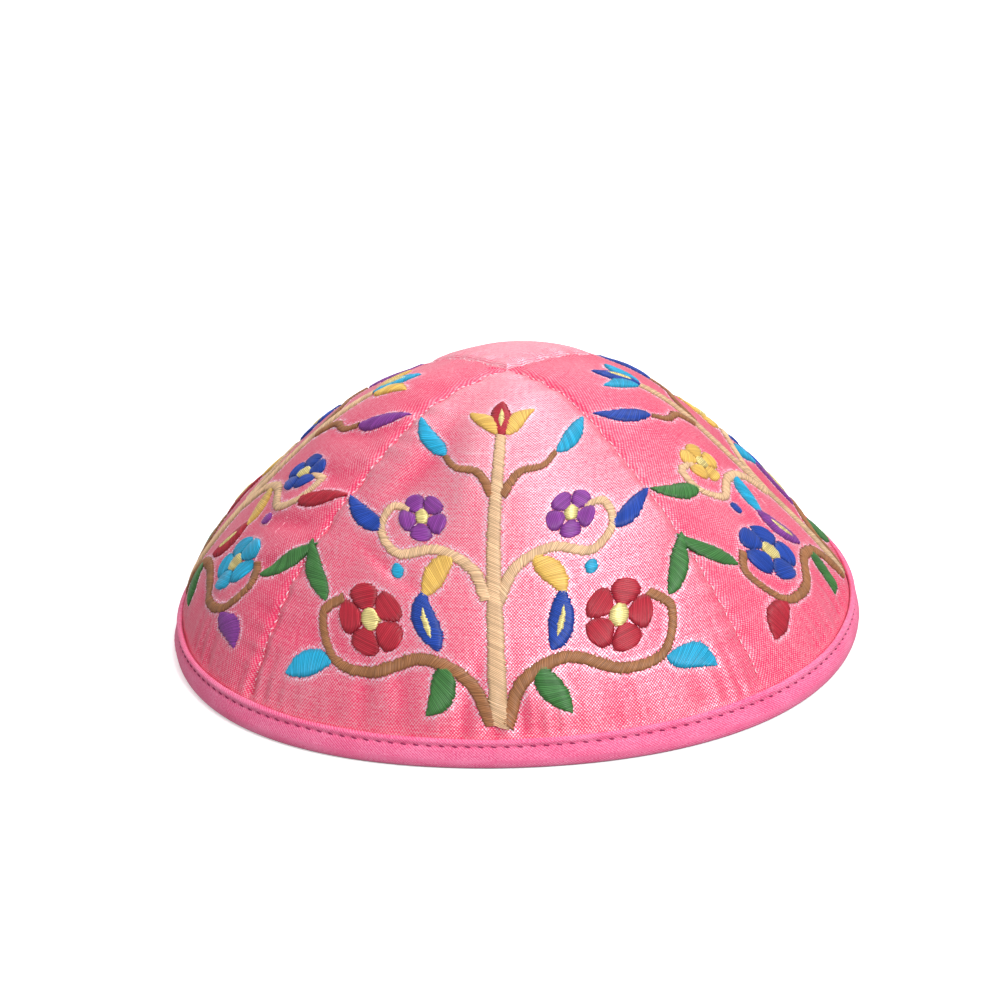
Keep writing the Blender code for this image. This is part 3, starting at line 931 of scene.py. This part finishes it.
def twill(name):
    """Bias tape of fine twill, with painted shade along the lower side of its fold."""
    n = Nodes(name, srgb(243, 112, 154), 0.6, Specular_IOR_Level=0.3, Sheen_Weight=0.12, Sheen_Roughness=0.5)
    place = n.attribute("tape_mm", "Vector")
    axes = n.separate(place)
    rib = n.math("MULTIPLY", n.math("ADD", n.math("MULTIPLY", axes[0], 0.80), axes[1]), math.tau / 0.60)
    cross = n.math("MULTIPLY", n.math("SUBTRACT", axes[1], n.math("MULTIPLY", axes[0], 1.2)), math.tau / 0.56)
    weave = n.math("ADD", n.math("SINE", rib), n.math("MULTIPLY", n.math("SINE", cross), 0.6))
    cloud = n.noise(n.mapping(place, (0.12, 0.25, 1)), 1.0, 3.0)
    grain = n.noise(n.mapping(place, (2.2, 2.2, 1)), 1.0, 2.0)
    share = n.math("MULTIPLY_ADD", weave, 0.28, 0.38)
    share = n.math("ADD", share, n.span(cloud, 0.3, 0.7, -0.14, 0.14))
    share = n.math("ADD", share, n.span(grain, 0.2, 0.8, -0.40, 0.40), clamp=True)
    colour = n.mix(share, srgb(232, 66, 122), srgb(255, 158, 196))
    # Painted shade: dark on the fold's lower side, where it nears the floor, fading out 1.1 mm round from its
    # outer face.
    underside_shade = n.span(axes[1], -1.9, -1.1, 1.0, 0.0, smooth=True)
    n.link(n.mix(underside_shade, colour, srgb(96, 20, 52)), n.surface.inputs["Base Color"])
    n.bump(n.math("ADD", weave, grain), 0.3, 0.00006)
    return n.material


def capsules(starts, ends, thick, normals, sides=6, rings=5):
    """Points and faces of short round strands, each lying on its own normal."""
    points, faces = [], []
    for start, end, normal in zip(starts, ends, normals):
        ahead = (end - start) / np.linalg.norm(end - start)
        aside = np.cross(normal, ahead)
        base = len(points)
        for k in range(rings):
            t = k / (rings - 1)
            girth = thick / 2 * max(0.25, math.sin(math.pi * (0.08 + 0.84 * t)) ** 0.5)
            for i in range(sides):
                turn = math.tau * i / sides
                outward = math.cos(turn) * aside + math.sin(turn) * normal
                points.append(start + (end - start) * t + girth * outward)
        for k in range(rings - 1):
            for i in range(sides):
                j = (i + 1) % sides
                low, high = base + k * sides, base + (k + 1) * sides
                faces.append((low + i, low + j, high + j, high + i))
        faces.append(tuple(range(base + sides - 1, base - 1, -1)))
        faces.append(tuple(range(base + (rings - 1) * sides, base + rings * sides)))
    return points, faces


def build_topstitching():
    """Slanted stitches all round, sunk in the groove near the binding's upper edge, dark with painted shade.
    """
    azimuth = math.tau * (np.arange(STITCHES) + 0.5) / STITCHES
    half = STITCH_LENGTH / 2 / RIM_LENGTH * math.tau
    ends = []
    for way in (-1, 1):
        climb = STITCH_CLIMB + way * STITCH_LENGTH / 2 * math.sin(STITCH_SLANT) + 0 * azimuth
        out = tape_out(azimuth, climb) - 0.01 * MM
        ends.append(wall(azimuth + way * half, lift_at(climb), out))
    climb = STITCH_CLIMB + 0 * azimuth
    normals = wall(azimuth, lift_at(climb), 1 * MM) - wall(azimuth, lift_at(climb), 0.0)
    normals /= np.linalg.norm(normals, axis=1)[:, None]
    points, faces = capsules(ends[0], ends[1], STITCH_THICK, normals)
    new_piece("binding_topstitching", points, faces, [TOPSTITCH_SHADE])


SEAM_STITCH_PITCH = 1.75 * MM
SEAM_STITCH_LENGTH = 1.15 * MM
SEAM_STITCH_THICK = 0.31 * MM


def build_seam_stitches():
    """Small pale stitches that show in the seams between the panels, some more than others."""
    points, faces = [], []
    rng = np.random.default_rng(5)
    lifts = np.radians(np.linspace(3, 88.5, 1200))
    for seam in range(4):
        azimuth = HALF_SPAN + seam * PANEL_SPAN
        line = wall(azimuth + 0 * lifts, lifts, 0.0)
        gone = np.concatenate([[0], np.cumsum(np.linalg.norm(np.diff(line, axis=0), axis=1))])
        marks = np.arange(8.0 * MM, gone[-1] - 1 * MM, SEAM_STITCH_PITCH)
        marks = marks + rng.normal(0, 0.15 * MM, len(marks))
        shown = np.where(np.arange(len(marks)) % 2, 0.45, 1.0)
        half = SEAM_STITCH_LENGTH / 2 * shown * rng.uniform(0.7, 1.1, len(marks))
        ends = []
        for way in (-1, 1):
            lift = np.interp(marks + way * half, gone, lifts)
            skew = way * rng.normal(0.10 * MM, 0.08 * MM, len(marks)) / section(azimuth + 0 * lift, lift)[0]
            ends.append(cloth(azimuth + skew, lift, 0.12 * MM - 0.8 * SEAM_DIP))
        lift = np.interp(marks, gone, lifts)
        normals = wall(azimuth + 0 * lift, lift, 1 * MM) - wall(azimuth + 0 * lift, lift, 0.0)
        normals /= np.linalg.norm(normals, axis=1)[:, None]
        more, shapes = capsules(ends[0], ends[1], SEAM_STITCH_THICK, normals, 5, 4)
        faces += [tuple(i + len(points) for i in face) for face in shapes]
        points += more
    new_piece("seam_stitches", points, faces, [SEAM_THREAD])


SLUB_COLUMNS = ("facing_deg", "start_x", "start_climb", "end_x", "end_climb")
SLUBS = (
    (0, -43, 16.4, -27, 18.6),
    (0, -38, 34.0, -31, 35.0),
    (0, 24, 18.0, 47, 20.5),
    (0, 37, 33.6, 42, 34.6),
    (0, -11, 44.2, 1, 43.0),
    (270, 29, 47.0, 35, 31.0),
    (270, 37, 22.0, 36, 9.0),
    (270, -20, 60.0, -18, 44.0),
    (90, -15, 66.0, -14, 60.0),
    (90, -10, 56.0, -12, 46.0),
    (90, -6, 45.0, -9, 36.0),
    (180, -24, 34.0, -10, 35.0),
    (180, 12, 62.0, 22, 61.0),
    (180, 30, 19.0, 44, 18.0),
)


def build_slubs():
    """Thick pale bits of weft that lie on the cloth in broken lines."""
    rng = np.random.default_rng(17)
    points, faces = [], []
    for facing, x0, climb0, x1, climb1 in SLUBS:
        chart = CHARTS[float(facing)]
        length = math.hypot(x1 - x0, climb1 - climb0)
        ahead = np.array([x1 - x0, climb1 - climb0]) / length
        aside = np.array([-ahead[1], ahead[0]])
        bow, at = rng.normal(0, 0.03) * length, 0.0
        while at < length:
            step = rng.uniform(0.5, 2.4)
            ends = []
            for mark in (at, min(at + step, length)):
                sway = bow * math.sin(math.pi * mark / length) + rng.normal(0, 0.07)
                ends.append(np.array([x0, climb0]) + ahead * mark + aside * sway)
            flat = np.array(ends)
            start, end = on_cloth(chart, flat[:, 0], flat[:, 1], np.array([-0.03, -0.03]))
            lifted = on_cloth(chart, flat[:1, 0], flat[:1, 1], np.array([1.0]))[0]
            normal = (lifted - start) / np.linalg.norm(lifted - start)
            more, shapes = capsules([start], [end], rng.uniform(0.12, 0.30) * MM, [normal], 5, 5)
            faces += [tuple(i + len(points) for i in face) for face in shapes]
            points += more
            at += step + rng.uniform(0.1, 0.9)
    new_piece("silk_slubs", points, faces, [SLUB])


FLOOR_GLOW_IN_SHADE = 0.42  # beneath the cap, lower: painted shade round it
FAR_GLOW = 0.75  # and from a third of a metre away
WORLD_LIGHT = 0.42
LIGHTS = (
    # name, place, size, power
    ("overhead", (0.20, 0.50, 1.10), 0.55, 5.5),
    ("key", (0.68, -0.95, 0.90), 0.75, 17.5),
    ("left_fill", (-1.20, -0.60, 0.60), 0.60, 2.0),
    ("back_fill", (-0.50, 1.30, 0.60), 0.80, 2.2),
)


def build_stage():
    """A plain white floor and backdrop, the floor with a painted shade round the cap."""
    bpy.ops.mesh.primitive_plane_add(size=14.0, location=(0, 0, 0))
    floor = bpy.context.object
    floor.name = "floor"
    n = Nodes("floor_white", (1.0, 1.0, 1.0), 0.9, Specular_IOR_Level=0.0)
    n.set("Emission Color", (1.0, 1.0, 1.0, 1.0))
    away = n.tree.nodes.new("ShaderNodeVectorMath")
    away.operation = "LENGTH"
    n.link(n.tree.nodes.new("ShaderNodeTexCoord").outputs["Object"], away.inputs[0])
    # The floor glows less near the cap: painted shade.
    shaded_glow = n.span(away.outputs["Value"], 0.10, 0.33, FLOOR_GLOW_IN_SHADE, FAR_GLOW, smooth=True)
    n.link(shaded_glow, n.surface.inputs["Emission Strength"])
    floor.data.materials.append(n.material)
    bpy.ops.mesh.primitive_uv_sphere_add(segments=48, ring_count=24, radius=6.5)
    backdrop = bpy.context.object
    backdrop.name = "backdrop"
    paper = Nodes("backdrop_white", (0.0, 0.0, 0.0), 1.0, Specular_IOR_Level=0.0)
    paper.set("Emission Color", (1.0, 1.0, 1.0, 1.0))
    paper.set("Emission Strength", 1.0)
    backdrop.data.materials.append(paper.material)
    backdrop.visible_shadow = False
    for thing in (floor, backdrop):
        thing.visible_diffuse = False
        thing.visible_glossy = False


def build_lights():
    world = bpy.data.worlds.new("world")
    bpy.context.scene.world = world
    world.use_nodes = True
    world.node_tree.nodes["Background"].inputs["Color"].default_value = (1.0, 1.0, 1.0, 1.0)
    world.node_tree.nodes["Background"].inputs["Strength"].default_value = WORLD_LIGHT
    for name, place, size, power in LIGHTS:
        light = bpy.data.lights.new(name, "AREA")
        light.shape = "DISK"
        light.size = size
        light.energy = power
        lamp = bpy.data.objects.new(name, light)
        lamp.location = place
        lamp.rotation_euler = (Vector((0, 0, AIM_HEIGHT)) - Vector(place)).to_track_quat("-Z", "Y").to_euler()
        bpy.context.scene.collection.objects.link(lamp)


def build_camera():
    data = bpy.data.cameras.new("camera")
    data.lens = CAMERA_LENS
    data.sensor_width = 36.0
    camera = bpy.data.objects.new("camera", data)
    level = Vector((math.sin(CAMERA_AZIMUTH), -math.cos(CAMERA_AZIMUTH), 0))
    back = level * math.cos(CAMERA_ELEVATION) + Vector((0, 0, math.sin(CAMERA_ELEVATION)))
    right = Vector((math.cos(CAMERA_AZIMUTH), math.sin(CAMERA_AZIMUTH), 0))
    up = back.cross(right)
    rolled_right = right * math.cos(CAMERA_ROLL) - up * math.sin(CAMERA_ROLL)
    rolled_up = right * math.sin(CAMERA_ROLL) + up * math.cos(CAMERA_ROLL)
    aim = Vector((0, 0, AIM_HEIGHT)) + rolled_right * AIM_RIGHT + rolled_up * AIM_UP
    turn = Matrix((rolled_right, rolled_up, back)).transposed().to_4x4()
    camera.matrix_world = Matrix.Translation(aim + back * CAMERA_DISTANCE) @ turn
    bpy.context.scene.collection.objects.link(camera)
    bpy.context.scene.camera = camera


def main():
    # The front and back panels get more weft than the sides, and more of it towards the top: a painted sheen
    # on top of the real weave.
    weft_across = silk("silk_front_back", 0.27, 0.58, 0.85, True)
    weft_upward = silk("silk_sides", 0.17, 0.11, 0.35, False)
    for k, (name, facing) in enumerate(PANEL_FACINGS.items()):
        stitching = spray(facing, name, PALETTES[name], 40 + k)
        build_crown(name, facing, weft_across if k % 2 == 0 else weft_upward, stitching.outlines)
    build_binding(twill("binding_twill"))
    build_topstitching()
    build_seam_stitches()
    build_slubs()
    build_stage()
    build_lights()
    build_camera()
    bpy.context.scene.view_settings.view_transform = "Standard"


main()
